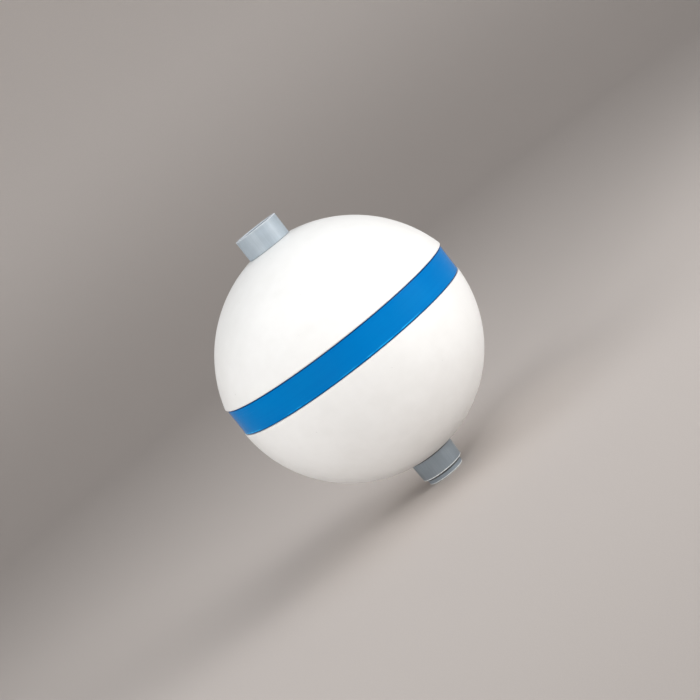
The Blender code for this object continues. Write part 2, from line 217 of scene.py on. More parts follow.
def makeBandMaterial(low, high):
    # glossy blue plastic with faint lines round it, darkened with painted shade at its edges and with a
    # painted highlight line near the lower one
    look = bandLook
    made, feed, coords = startMaterial("blue_band_gloss")
    radius, angle, z = aroundAxis(coords)
    belt = coords.combine(angle * 1.2, radius * 40.0, z * 420.0)
    lines = belt.noise(1.0, 3.0, 0.6)
    cloud = coords.noise(11.0, 3.0)
    colour = (cloud * 0.7 + lines * 0.3).ramp(0.35, 0.65).mix(look["deep"], look["bright"])
    fromEdge = coords.maths("MINIMUM", z - low, high - z)
    # painted highlight: a pale line just above the lower edge, broken up round the band; it also raises the
    # roughness there
    highlightBreakUp = coords.noise(7.0, 3.0).ramp(0.42, 0.60) * coords.noise(90.0, 3.0).ramp(0.30, 0.60)
    highlightLine = (1 - coords.maths("ABSOLUTE", z - (low + look["highlightHeight"])).ramp(0.0004, 0.0010)) * highlightBreakUp
    colour = (highlightLine * 0.90).mix(colour, look["edge"])
    # painted shade: dark blue along both edges, where the grooves beside the shells lie in shade
    colour = (1 - fromEdge.ramp(0.0006, 0.0016)).mix(colour, look["grooveShade"])
    feed("Base Color", colour)
    scratch = belt.scaled(1.6, 1.0, 3.0).noise(1.0, 2.0).ramp(0.66, 0.72)
    smudge = coords.noise(19.0, 4.0).ramp(0.4, 0.8)
    feed("Roughness", 0.13 + smudge * 0.07 + scratch * 0.12 + highlightLine * 0.15)
    relief = coords.noise(240.0, 2.0) * 0.7 + lines * 0.3
    feed("Normal", bumped(coords, relief, 0.16, 0.00005))
    feed("Specular IOR Level", 0.05)
    return made


# the near-white edge colour is partly wear and partly painted highlight; the near-black one is painted shadow
pvcLook = {
    "light": (0.375, 0.438, 0.490), "shade": (0.325, 0.380, 0.425), "speck": (0.16, 0.17, 0.18),
    "wornAndHighlitEdge": (0.88, 0.91, 0.93), "creaseShadow": (0.012, 0.012, 0.014),
}


def makePvcMaterial(name, edges, creases, edgeWearAndHighlight, shadeTint=1.0):
    # Grey pipe plastic with drawn lines along the axis. It is paler round the edges, given as heights, partly
    # wear and partly painted highlight, and has painted shadow in the creases, given as (height, smallest
    # radius, largest radius, half width) in metres.
    look = pvcLook
    made, feed, coords = startMaterial(name)
    # a factor below 1 gives a darker copy of the grey, as painted shade
    light, shade = (tuple(c * shadeTint for c in look[key]) for key in ("light", "shade"))
    radius, angle, z = aroundAxis(coords)
    drawn = coords.combine(angle * 26.0, radius * 60.0, z * 24.0).noise(1.0, 4.0, 0.6)
    cloud = coords.noise(55.0, 4.0)
    colour = (drawn * 0.55 + cloud * 0.45).ramp(0.35, 0.65).mix(light, shade)
    colour = (specks(coords, 0.006, 0.0003, 0.5) * 0.6).mix(colour, look["speck"])
    patchy = coords.noise(330.0, 4.0).ramp(0.35, 0.7)
    wearAndHighlight = 0.0
    # pale edges: partly wear, partly painted highlight
    for height in edges:
        near = (1 - coords.maths("ABSOLUTE", z - height).ramp(0.0007, 0.0012)) * (0.65 + patchy * 0.35)
        wearAndHighlight = near.maths("MAXIMUM", wearAndHighlight, near)
        colour = (near * edgeWearAndHighlight).mix(colour, look["wornAndHighlitEdge"])
    # painted shadow in the creases, where the parts meet or overhang
    for height, inner, outer, half in creases:
        creaseShadow = 1 - coords.maths("ABSOLUTE", z - height).ramp(half, half + 0.0004)
        creaseShadow = creaseShadow * radius.ramp(inner - 0.0002, inner) * (1 - radius.ramp(outer, outer + 0.0003))
        colour = (creaseShadow * 0.95).mix(colour, look["creaseShadow"])
    feed("Base Color", colour)
    smear = coords.noise(42.0, 4.0).ramp(0.35, 0.75)
    feed("Roughness", 0.34 + smear * 0.14 + drawn * 0.06 + wearAndHighlight * 0.15)
    relief = drawn * 0.6 + coords.noise(1500.0, 2.0) * 0.4
    feed("Normal", bumped(coords, relief, 0.25, 0.00007))
    return made


def makeMouldedMaterial(name, light, shade, roughness, grain):
    # plain moulded plastic or rubber with a fine grain
    made, feed, coords = startMaterial(name)
    cloud = coords.noise(70.0, 4.0).ramp(0.35, 0.65)
    dust = coords.noise(400.0, 3.0).ramp(0.55, 0.8)
    colour = cloud.mix(light, shade)
    colour = (dust * 0.10).mix(colour, (0.5, 0.49, 0.47))
    feed("Base Color", colour)
    feed("Roughness", roughness + cloud * 0.10 + dust * 0.06)
    relief = coords.noise(1 / grain, 3.0) * 0.8 + cloud * 0.2
    feed("Normal", bumped(coords, relief, 0.35, 0.00010))
    return made


def makeSteelMaterial():
    # bright stainless steel with fine turning marks
    made, feed, coords = startMaterial("stainless_turned")
    x, y, z = coords.xyz()
    marks = coords.combine(x * 300.0, y * 300.0, z * 5200.0).noise(1.0, 3.0)
    stain = coords.noise(90.0, 4.0).ramp(0.4, 0.75)
    colour = (marks * 0.6 + stain * 0.4).ramp(0.3, 0.7).mix((0.66, 0.66, 0.64), (0.52, 0.52, 0.50))
    feed("Base Color", colour)
    feed("Metallic", 1.0)
    feed("Roughness", 0.20 + marks * 0.14 + stain * 0.10)
    feed("Normal", bumped(coords, marks, 0.20, 0.00004))
    return made


def makeFloatMaterial(middle):
    # ivory moulded ball with a welded seam round its middle
    made, feed, coords = startMaterial("float_ivory")
    radius, _, z = aroundAxis(coords)
    cloud = coords.noise(24.0, 4.0).ramp(0.35, 0.65)
    colour = cloud.mix((0.76, 0.72, 0.61), (0.68, 0.64, 0.53))
    seam = 1 - coords.maths("ABSOLUTE", z - middle).ramp(0.0006, 0.0030)
    stain = coords.noise(160.0, 4.0).ramp(0.4, 0.7)
    colour = (seam * stain * 0.5).mix(colour, (0.42, 0.37, 0.28))
    feed("Base Color", colour)
    feed("Roughness", 0.36 + cloud * 0.12 + seam * 0.15)
    relief = coords.noise(500.0, 3.0) * 0.6 + coords.combine(radius * 900.0, z * 900.0, 0.0).noise(1.0) * 0.4
    feed("Normal", bumped(coords, relief, 0.20, 0.00007))
    return made


def newTree(name, sockets):
    # a geometry tree with one geometry in and out and the named inputs; returns it and its input wires
    tree = bpy.data.node_groups.new(name, "GeometryNodeTree")
    tree.interface.new_socket("Geometry", in_out="INPUT", socket_type="NodeSocketGeometry")
    tree.interface.new_socket("Geometry", in_out="OUTPUT", socket_type="NodeSocketGeometry")
    for label, kind, value in sockets:
        made = tree.interface.new_socket(label, in_out="INPUT", socket_type="NodeSocket" + kind)
        if value is not None:
            made.default_value = value
    start = tree.nodes.new("NodeGroupInput")
    return tree, {socket.name: Wire(tree, socket) for socket in start.outputs if socket.name}


def endTree(tree, geometry, finish):
    # Realize Instances, Set Material, output
    real = geometry.node("GeometryNodeRealizeInstances", None, {"Geometry": geometry})
    painted = real.node("GeometryNodeSetMaterial", None, {"Geometry": real, "Material": finish})
    leave = tree.nodes.new("NodeGroupOutput")
    tree.links.new(painted.socket, leave.inputs[0])


def makeTurningTree():
    # Turns a line of points (radius along X, height along Z) about Z. The points' thread and hexed
    # attributes say where a thread is cut and where flats are milled.
    tree, given = newTree("turning", [
        ("Steps", "Int", 96), ("Columns", "Int", 8), ("Points", "Int", 8), ("Pitch", "Float", 1.0),
        ("Depth", "Float", 0.0), ("Flats", "Float", 1.0), ("Sides", "Int", 6),
        ("Material", "Material", None)])
    line = given["Geometry"]
    columns = given["Columns"]
    sheet = line.node("GeometryNodeMeshGrid", None, {
        "Size X": 1.0, "Size Y": 1.0, "Vertices X": given["Steps"] + 1, "Vertices Y": columns})
    index = line.node("GeometryNodeInputIndex")
    turn = line.maths("FLOOR", (index + 0.5) / columns)
    column = index - turn * columns
    place = column % given["Points"]
    angle = turn * math.tau / given["Steps"]

    def sample(kind, value, out=0):
        return line.node("GeometryNodeSampleIndex", {"data_type": kind},
                         {"Geometry": line, "Value": value, "Index": place}, out)

    position = sample("FLOAT_VECTOR", line.node("GeometryNodeInputPosition"))
    thread = sample("FLOAT", line.node("GeometryNodeInputNamedAttribute", {"data_type": "FLOAT"},
                                       {"Name": "thread"}))
    hexed = sample("FLOAT", line.node("GeometryNodeInputNamedAttribute", {"data_type": "FLOAT"},
                                      {"Name": "hexed"}))
    radius, _, height = position.xyz()
    phase = (height / given["Pitch"] - turn / given["Steps"]) % 1.0
    ridge = line.maths("ABSOLUTE", phase * 2 - 1)
    radius = radius - thread * given["Depth"] * ridge.ramp(0.12, 0.88)
    sector = math.tau / given["Sides"]
    offFlat = (angle % sector) - sector * 0.5
    flat = given["Flats"] * 0.5 / line.maths("COSINE", offFlat)
    milled = line.maths("MINIMUM", radius, flat)
    radius = radius + (milled - radius) * hexed
    spun = line.combine(radius * line.maths("COSINE", angle), radius * line.maths("SINE", angle), height)
    moved = line.node("GeometryNodeSetPosition", None, {"Geometry": sheet, "Position": spun})
    closed = line.node("GeometryNodeMergeByDistance", None, {"Geometry": moved, "Distance": weld})
    smooth = line.node("GeometryNodeSetShadeSmooth", None, {"Geometry": closed})
    endTree(tree, smooth, given["Material"])
    return tree


def makeCircleTree():
    # Stands copies of a piece on a circle round the axis, each turned by its own amount
    tree, given = newTree("standOnCircle", [
        ("Count", "Int", 4), ("Circle Radius", "Float", 0.05), ("Start", "Float", 0.0),
        ("Twist", "Float", 0.0), ("Seed", "Int", 1), ("Material", "Material", None)])
    piece = given["Geometry"]
    circle = piece.node("GeometryNodeMeshCircle", None,
                        {"Vertices": given["Count"], "Radius": given["Circle Radius"]})
    turned = piece.node("GeometryNodeTransform", None, {
        "Geometry": circle, "Rotation": piece.combine(0.0, 0.0, given["Start"])})
    twist = piece.node("FunctionNodeRandomValue", {"data_type": "FLOAT"}, {
        "Min": 0.0, "Max": given["Twist"], "Seed": given["Seed"]}, "Value")
    copies = piece.node("GeometryNodeInstanceOnPoints", None, {
        "Points": turned, "Instance": piece, "Rotation": piece.combine(0.0, 0.0, twist)})
    endTree(tree, copies, given["Material"])
    return tree


def runTree(obj, tree, values):
    # applies a tree to an object as a plain mesh
    modifier = obj.modifiers.new(tree.name, "NODES")
    modifier.node_group = tree
    names = {item.name: item.identifier for item in tree.interface.items_tree if item.in_out == "INPUT"}
    for label, value in values.items():
        modifier[names[label]] = value
    obj.update_tag()
    depsgraph = bpy.context.evaluated_depsgraph_get()
    depsgraph.update()
    mesh = bpy.data.meshes.new_from_object(obj.evaluated_get(depsgraph))
    obj.modifiers.remove(modifier)
    obj.data = mesh
    return obj


def tidyMesh(obj):
    # closed meshes get outward faces; edges sharper than 40 degrees stay crisp
    shape = bmesh.new()
    shape.from_mesh(obj.data)
    bmesh.ops.remove_doubles(shape, verts=shape.verts, dist=weld)
    bmesh.ops.recalc_face_normals(shape, faces=shape.faces)
    shape.to_mesh(obj.data)
    shape.free()
    obj.data.shade_smooth()
    obj.data.set_sharp_from_angle(angle=math.radians(40.0))
    for name in ("thread", "hexed"):
        found = obj.data.attributes.get(name)
        if found:
            obj.data.attributes.remove(found)
    return obj


turningTree = makeTurningTree()
circleTree = makeCircleTree()


def arcPoints(centre, radius, start, end, count):
    # start and end are in degrees above the outward direction
    points = []
    for i in range(count + 1):
        angle = math.radians(start + (end - start) * i / count)
        points.append((centre[0] + radius * math.cos(angle), centre[1] + radius * math.sin(angle)))
    return points


def latitude(radius, centre, height):
    return math.degrees(math.asin((height - centre) / radius))


def roundCorner(before, at, after, radius, count=5):
    before, at, after = Vector(before), Vector(at), Vector(after)
    inward = (before - at).normalized()
    onward = (after - at).normalized()
    half = inward.angle(onward) / 2
    reach = min(radius / math.tan(half), 0.45 * (before - at).length, 0.45 * (after - at).length)
    radius = reach * math.tan(half)
    centre = at + (inward + onward).normalized() * radius / math.sin(half)
    first = at + inward * reach - centre
    last = at + onward * reach - centre
    sweep = first.angle_signed(last)
    points = []
    for i in range(count + 1):
        spun = Matrix.Rotation(-sweep * i / count, 2) @ first
        points.append(tuple(centre + spun))
    return points


def outline(items, closed=True):
    # items are corners (radius, height, rounding) or lists of points; returns the whole line of points
    count = len(items)
    line = []
    for i, item in enumerate(items):
        if isinstance(item, list):
            line += item
            continue
        before, after = items[i - 1], items[(i + 1) % count]
        before = before[-1] if isinstance(before, list) else before[:2]
        after = after[0] if isinstance(after, list) else after[:2]
        rounding = item[2] if len(item) > 2 else 0.0
        atEnd = not closed and i in (0, count - 1)
        if rounding > 0 and not atEnd:
            line += roundCorner(before, item[:2], after, rounding)
        else:
            line.append(item[:2])
    return line


def onThread(radius, thread):
    return bool(thread) and abs(radius - thread["radius"]) < 0.02


def partOfArc(line, i, closed):
    # true where the line bends a little at both ends of this stretch, as it does all along a large arc
    count = len(line)
    if not closed and (i == 0 or i > count - 3):
        return False
    before, a, b, after = (Vector(line[(i + k) % count]) for k in (-1, 0, 1, 2))
    bends = [(a - before).angle(b - a), (b - a).angle(after - b)]
    return min(bends) > 0.0005 and max(bends) < math.radians(5)


def filled(line, closed, longest, thread):
    # adds points along the straights: close ones near each end, so that shading stays flat
    count = len(line)
    full = []
    for i in range(count if closed else count - 1):
        a, b = Vector(line[i]), Vector(line[(i + 1) % count])
        full.append(tuple(a))
        length = (b - a).length
        if length < 1.2 or partOfArc(line, i, closed):
            continue
        step = longest
        if onThread(a.x, thread) and onThread(b.x, thread):
            step = thread["pitch"] / 8
        pieces = max(1, math.ceil((length - 0.5) / step))
        for j in range(pieces + 1):
            along = (0.25 + (length - 0.5) * j / pieces) / length
            full.append(tuple(a.lerp(b, along)))
    if not closed:
        full.append(tuple(line[-1]))
    return full


def threadWeight(point, thread):
    # full depth inside the threaded stretch, fading over one pitch at each end
    if not onThread(point[0], thread):
        return 0.0
    low, high = thread["span"]
    reach = min(point[1] - low, high - point[1]) / thread["pitch"]
    return max(0.0, min(1.0, reach))


def turnPiece(name, items, finish, steps=96, closed=True, longest=4.0, thread=None, hexed=None):
    # hexed is (flats, smallest radius, largest radius): the points that are milled to a hexagon
    line = filled(outline(items, closed), closed, longest, thread)
    mesh = bpy.data.meshes.new(name)
    mesh.from_pydata([(max(r, 0.0) * mm, 0.0, z * mm) for r, z in line], [], [])
    weights = mesh.attributes.new("thread", "FLOAT", "POINT")
    milled = mesh.attributes.new("hexed", "FLOAT", "POINT")
    for i, point in enumerate(line):
        weights.data[i].value = threadWeight(point, thread)
        if hexed and hexed[1] - 0.01 <= point[0] <= hexed[2] + 0.01:
            milled.data[i].value = 1.0
    obj = bpy.data.objects.new(name, mesh)
    bpy.context.scene.collection.objects.link(obj)
    runTree(obj, turningTree, {
        "Steps": steps, "Columns": len(line) + (1 if closed else 0), "Points": len(line),
        "Pitch": (thread["pitch"] if thread else 1.0) * mm,
        "Depth": (thread["depth"] if thread else 0.0) * mm,
        "Flats": (hexed[0] if hexed else 1.0) * mm, "Sides": 6, "Material": finish})
    return tidyMesh(obj)


def standOnCircle(master, name, count, radius, start, twist, seed, finish):
    obj = runTree(master, circleTree, {
        "Count": count, "Circle Radius": radius * mm, "Start": start, "Twist": twist, "Seed": seed,
        "Material": finish})
    obj.name = name
    return tidyMesh(obj)


def span(node):
    # lowest height, highest height and largest radius of a CAD node
    low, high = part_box(node)
    return low.z / mm, high.z / mm, high.x / mm


def settle(piece, slot, *nodes, body="housing"):
    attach(piece, body)
    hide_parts(*nodes)
    return piece


bandLow, bandHigh, bandRadius = span("joint_band")
seamGap = 0.3
domeBottom = bandHigh + seamGap
bowlTop = bandLow - seamGap

neck = {"outer": 161.0, "inner": 156.5}
dome = {"centre": 185.3, "radius": 172.75, "inner": 168.0, "lip": 1.5, "pad": 7.0, "hole": 24.3}
bowl = {"centre": 197.0, "radius": 165.5, "inner": 160.5, "lip": 0.6, "pad": 7.0, "hole": 24.3}

shellMaterial = makeShellMaterial([domeBottom * mm, bowlTop * mm])


def buildDome():
    v = dome
    split, top, _ = span("upper_dome")
    pad = top - v["pad"]
    lipZ = domeBottom + v["lip"]
    lipR = math.sqrt((v["radius"] - v["lip"]) ** 2 - (lipZ - v["centre"]) ** 2)
    lean = latitude(v["radius"] - v["lip"], v["centre"], lipZ)
    innerJoin = v["centre"] + math.sqrt(v["inner"] ** 2 - neck["inner"] ** 2)
    items = [
        (v["hole"], top, 0.5),
        arcPoints((0, v["centre"]), v["radius"], latitude(v["radius"], v["centre"], top), lean, 96),
        arcPoints((lipR, lipZ), v["lip"], lean, -90, 10)[1:],
        (neck["outer"], domeBottom, 0.3), (neck["outer"], split, 0.3), (neck["inner"], split, 0.8),
        arcPoints((0, v["centre"]), v["inner"], latitude(v["inner"], v["centre"], innerJoin),
                  latitude(v["inner"], v["centre"], pad), 48),
        (v["hole"], pad, 0.5)]
    piece = turnPiece("upper_dome_shell", items, shellMaterial, 240)
    settle(piece, "white_shell", "upper_dome")


def buildBowl():
    v = bowl
    bottom, split, _ = span("lower_bowl")
    pad = bottom + v["pad"]
    lipZ = bowlTop - v["lip"]
    lipR = math.sqrt((v["radius"] - v["lip"]) ** 2 - (lipZ - v["centre"]) ** 2)
    lean = latitude(v["radius"] - v["lip"], v["centre"], lipZ)
    innerJoin = v["centre"] - math.sqrt(v["inner"] ** 2 - neck["inner"] ** 2)
    items = [
        (neck["outer"], split, 0.3), (neck["outer"], bowlTop, 0.3),
        arcPoints((lipR, lipZ), v["lip"], 90, lean, 8)[:-1],
        arcPoints((0, v["centre"]), v["radius"], lean, latitude(v["radius"], v["centre"], bottom), 120),
        (v["hole"], bottom, 0.5), (v["hole"], pad, 0.5),
        arcPoints((0, v["centre"]), v["inner"], latitude(v["inner"], v["centre"], pad),
                  latitude(v["inner"], v["centre"], innerJoin), 56),
        (neck["inner"], split, 0.8)]
    piece = turnPiece("lower_bowl_shell", items, shellMaterial, 240)
    settle(piece, "white_shell", "lower_bowl")


buildDome()
buildBowl()
print("shells done")


joint = {"edge": 1.2, "innerRadius": 161.3, "spigotInner": 149.5, "grooveHalf": 2.2, "ringOffset": 9.0,
         "ringRadius": 1.75}

bandMaterial = makeBandMaterial(bandLow * mm, bandHigh * mm)
blackMaterial = makeMouldedMaterial("black_moulding", (0.032, 0.032, 0.034), (0.020, 0.020, 0.022),
                                    0.42, 0.0007)
rubberMaterial = makeMouldedMaterial("black_rubber", (0.020, 0.020, 0.020), (0.012, 0.012, 0.012),
                                     0.62, 0.0005)


def buildBand():
    v = joint
    items = [(bandRadius, bandHigh, v["edge"]), (bandRadius, bandLow, v["edge"]),
             (v["innerRadius"], bandLow, 0.3), (v["innerRadius"], bandHigh, 0.3)]
    settle(turnPiece("joint_band_ring", items, bandMaterial, 300, longest=1.2), "blue_band", "joint_band")


def buildSpigot():
    v = joint
    low, high, outer = span("joint_spigot")
    middle = (low + high) / 2
    _, _, sealOuter = span("upper_joint_oring")
    ringMiddle = sealOuter - v["ringRadius"]
    floor = ringMiddle - v["ringRadius"] - seamGap
    items = [(outer, high, 0.8)]
    for z in (middle + v["ringOffset"], middle - v["ringOffset"]):
        items += [(outer, z + v["grooveHalf"], 0.25), (floor, z + v["grooveHalf"], 0.4),
                  (floor, z - v["grooveHalf"], 0.4), (outer, z - v["grooveHalf"], 0.25)]
    items += [(outer, low, 0.8), (v["spigotInner"], low, 0.8), (v["spigotInner"], high, 0.8)]
    settle(turnPiece("joint_spigot_ring", items, blackMaterial, 240), "black_moulding", "joint_spigot")
    for node in ("upper_joint_oring", "lower_joint_oring"):
        low, high, _ = span(node)
        section = arcPoints((ringMiddle, (low + high) / 2), v["ringRadius"], 90, -255, 23)
        piece = turnPiece(node + "_seal", [section], rubberMaterial, 240)
        settle(piece, "black_rubber", node)


buildBand()
buildSpigot()
print("joint done")


pipeThread = {"pitch": 2.309, "depth": 1.1}
socket = {"bore": 25.2, "thread": 23.9, "passage": 20.0, "stop": 4.4, "mouth": 28.67, "chamfer": (0.87, 0.9),
          "leadIn": (1.9, 4.5), "plain": 3.0, "runOut": 0.8}
bush = {"bore": 20.1, "stopRadius": 17.5, "stop": 26.0, "chamfer": 1.2}

upperLow, upperTop, upperRadius = span("upper_socket")
lowerMouth, lowerEnd, lowerRadius = span("lower_socket")
_, bushTop, bushRadius = span("lower_bush")
upperShoulder = span("upper_dome")[1] + seamGap
lowerShoulder = span("lower_bowl")[0] - seamGap

upperPvc = makePvcMaterial("grey_pvc_upper", [upperTop * mm], [], 0.45)
# painted highlight on the lower socket's mouth edge and on the bush's end; painted shadow at the bowl joint
# and on the bush just under the socket's mouth
lowerEdges = [(lowerMouth + 0.5) * mm, 0.0007]
lowerCreases = [(lowerShoulder * mm, 0.028, 0.031, 0.0008),
                ((lowerMouth - 1.2) * mm, 0.024, 0.0252, 0.0009)]
# the lower socket and the bush get a darker copy of the grey: painted shade for their place under the bowl
lowerPvc = makePvcMaterial("grey_pvc_lower_shaded", lowerEdges, lowerCreases, 1.0, 0.56)


def buildUpperSocket():
    v = socket
    thread = dict(pipeThread, radius=v["thread"], span=(upperLow + v["runOut"], upperShoulder - v["plain"]))
    items = [
        (v["bore"] + 0.8, upperTop, 0.15), (upperRadius, upperTop, 0.35), (upperRadius, upperShoulder, 0.2),
        (v["thread"], upperShoulder, 0.1), (v["thread"], upperLow, 0.9), (v["passage"], upperLow, 0.5),
        (v["passage"], upperShoulder + v["stop"], 0.5), (v["bore"], upperShoulder + v["stop"], 0.5),
        (v["bore"], upperTop - 0.8, 0.2)]
    piece = turnPiece("upper_socket_body", items, upperPvc, 160, thread=thread, longest=2.0)
    settle(piece, "grey_pvc", "upper_socket")


def buildLowerSocket():
    v = socket
    thread = dict(pipeThread, radius=v["thread"], span=(lowerShoulder + v["plain"], lowerEnd - v["runOut"]))
    chamferWide, chamferHigh = v["chamfer"]
    leadWide, leadHigh = v["leadIn"]
    items = [
        (v["thread"], lowerEnd, 0.9), (v["thread"], lowerShoulder, 0.1), (lowerRadius, lowerShoulder, 0.2),
        (v["mouth"], lowerMouth + chamferHigh, 0.3), (v["mouth"] - chamferWide, lowerMouth, 0.25),
        (v["bore"] + leadWide, lowerMouth, 0.2), (v["bore"], lowerMouth + leadHigh, 0.5),
        (v["bore"], bushTop + seamGap, 0.3),
        (v["passage"], bushTop + seamGap, 0.4), (v["passage"], lowerEnd, 0.5)]
    piece = turnPiece("lower_socket_body", items, lowerPvc, 160, thread=thread, longest=2.0)
    settle(piece, "grey_pvc", "lower_socket")


def buildBush():
    v = bush
    items = [
        (bushRadius, bushTop, 0.6), (bushRadius, v["chamfer"], 0.25), (bushRadius - v["chamfer"], 0, 0.25),
        (v["bore"] + 1, 0, 0.2), (v["bore"], 1, 0.3), (v["bore"], v["stop"], 0.4),
        (v["stopRadius"], v["stop"], 0.5), (v["stopRadius"], bushTop, 0.5)]
    settle(turnPiece("lower_bush_ring", items, lowerPvc, 160, longest=2.0), "grey_pvc", "lower_bush")


buildUpperSocket()
buildLowerSocket()
buildBush()
print("sockets done")


backnut = {"flats": 62.0, "chamfer": 2.2, "bore": 24.2, "leadIn": 1.2, "gasketBore": 24.3}
past = {"thread": 3.0, "smallThread": 1.0, "drill": 1.0}        # how far cuts run past a piece's faces


def buildClamp(side):
    v = backnut
    low, high, outer = span(side + "_gasket")
    ring = [(outer, high, 0.5), (outer, low, 0.5), (v["gasketBore"], low, 0.4),
            (v["gasketBore"], high, 0.4)]
    settle(turnPiece(side + "_gasket_ring", ring, rubberMaterial, 128), "black_rubber", side + "_gasket")
    low, high, _ = span(side + "_backnut")
    corner = v["flats"] / math.sqrt(3)
    slope = v["chamfer"] / 2
    lead = v["leadIn"]
    thread = dict(pipeThread, radius=v["bore"], span=(low - past["thread"], high + past["thread"]))
    items = [
        (corner - v["chamfer"], high, 0.2), (corner, high - slope, 0.3), (corner, low + slope, 0.3),
        (corner - v["chamfer"], low, 0.2), (v["bore"] + lead, low, 0.1), (v["bore"], low + lead),
        (v["bore"], high - lead), (v["bore"] + lead, high, 0.1)]
    piece = turnPiece(side + "_backnut_hex", items, upperPvc, 144, thread=thread,
                      hexed=(v["flats"], v["flats"] / 2 - 2.0, corner))
    settle(piece, "grey_pvc", side + "_backnut")


buildClamp("upper")
buildClamp("lower")
print("clamping done")


seat = {"bore": 15.5, "edge": 17.0, "edgeDepth": 2.3, "lip": 20.5, "recess": 24.3, "recessDepth": 3.3,
        "flange": 6.0, "hub": 34.0, "floor": 326.7, "retainerBore": 21.0}
screw = {"count": 4, "circle": 29.0, "radius": 1.9, "pitch": 0.7, "depth": 0.35, "head": 3.6, "key": 1.3,
         "keyFlats": 2.262, "holeTop": 325.3}
rod = {"circle": 63.0, "hole": 2.7, "end": 2.4, "body": 3.5, "count": 4, "pitch": 0.8, "depth": 0.45}
nut = {"corner": 4.9, "bevel": 0.45, "chamfer": 0.8, "leadIn": 0.5, "threadDepth": 0.3}

steelMaterial = makeSteelMaterial()
holderLow, holderTop, holderRadius = span("seat_holder")


def drill(obj, count, circle, start, radius, low, high, steps=40):
    # straight holes round the axis
    shape = bmesh.new()
    for i in range(count):
        angle = start + math.tau * i / count
        centre = Vector((circle * math.cos(angle), circle * math.sin(angle), (low + high) / 2)) * mm
        bmesh.ops.create_cone(shape, cap_ends=True, segments=steps, radius1=radius * mm, radius2=radius * mm,
                              depth=(high - low) * mm, matrix=Matrix.Translation(centre))
    mesh = bpy.data.meshes.new("drill")
    shape.to_mesh(mesh)
    shape.free()
    tool = bpy.data.objects.new("drill", mesh)
    bpy.context.scene.collection.objects.link(tool)
    cut = obj.modifiers.new("holes", "BOOLEAN")
    cut.operation = "DIFFERENCE"
    cut.solver = "EXACT"
    cut.object = tool
    depsgraph = bpy.context.evaluated_depsgraph_get()
    result = bpy.data.meshes.new_from_object(obj.evaluated_get(depsgraph))
    obj.modifiers.remove(cut)
    obj.data = result
    bpy.data.objects.remove(tool)
    return obj


def buildHolder():
    v = seat
    flangeTop = holderLow + v["flange"]
    recessTop = holderLow + v["recessDepth"]
    items = [
        (v["hub"], holderTop, 0.8), (v["hub"], flangeTop, 1.0), (holderRadius, flangeTop, 0.8),
        (holderRadius, holderLow, 0.8), (v["recess"], holderLow, 0.2), (v["recess"], recessTop, 0.2),
        (v["bore"], recessTop, 0.3), (v["bore"], v["floor"], 0.4), (backnut["bore"], v["floor"], 0.3),
        (backnut["bore"], holderTop, 0.6)]
    thread = dict(pipeThread, radius=backnut["bore"], span=(v["floor"] + seamGap, holderTop - seamGap))
    piece = turnPiece("seat_holder_body", items, blackMaterial, 144, thread=thread)
    bottom = holderLow - past["drill"]
    drill(piece, rod["count"], rod["circle"], math.pi / 4, rod["hole"], bottom, flangeTop + past["drill"])
    drill(piece, screw["count"], screw["circle"], 0.0, screw["radius"] + seamGap, bottom, screw["holeTop"])
    tidyMesh(piece)
    settle(piece, "black_moulding", "seat_holder")


def buildSeat():
    v = seat
    low, high, outer = span("seat_ring")
    retainerLow, retainerHigh, retainerOuter = span("seat_retainer")
    step = retainerHigh + seamGap
    items = [
        (outer, high, 0.3), (outer, step, 0.2), (v["lip"], step, 0.2), (v["lip"], low, 0.4),
        (v["edge"], low, 0.25), (v["bore"], low + v["edgeDepth"], 0.3), (v["bore"], high, 0.3)]
    settle(turnPiece("seat_ring_seal", items, rubberMaterial, 128), "black_rubber", "seat_ring")
    items = [(retainerOuter, retainerHigh, 0.3), (retainerOuter, retainerLow, 0.4),
             (v["retainerBore"], retainerLow, 0.3), (v["retainerBore"], retainerHigh, 0.2)]
    plate = turnPiece("seat_retainer_plate", items, steelMaterial, 144)
    drill(plate, screw["count"], screw["circle"], 0.0, screw["radius"] + seamGap,
          retainerLow - past["drill"], retainerHigh + past["drill"])
    settle(tidyMesh(plate), "stainless_steel", "seat_retainer")


def buildScrews():
    v = screw
    low, high, _ = span("seat_screw_1")
    headTop = span("seat_retainer")[0] - seamGap
    key = v["key"]
    thread = {"radius": v["radius"], "pitch": v["pitch"], "depth": v["depth"],
              "span": (headTop + 0.5, high - 0.4)}
    items = [
        (0, high), (v["radius"], high, 0.4), (v["radius"], headTop, 0.2), (v["head"], headTop, 0.15),
        (v["head"], low + 0.8, 0.4), (v["head"] - 1.0, low, 0.4), (key, low, 0.1), (key, low + 1.3, 0.1),
        (0, low + 1.5)]
    master = turnPiece("seat_screw", items, steelMaterial, 36, closed=False, thread=thread, longest=1.5,
                       hexed=(v["keyFlats"], key - 0.15, key + 0.02))
    names = ["seat_screw_%d" % (i + 1) for i in range(v["count"])]
    piece = standOnCircle(master, "seat_screws", v["count"], v["circle"], 0.0, math.tau, 3, steelMaterial)
    settle(piece, "stainless_steel", *names)


buildHolder()
buildSeat()
buildScrews()
print("seat done")


cage = {"rim": 70.0, "inner": 56.0, "hub": 29.0, "bore": 20.0, "arm": 4.5, "corner": 2.0, "edge": 0.6}
pad = {"bore": 17.7, "edge": 21.0, "edgeDepth": 1.8}


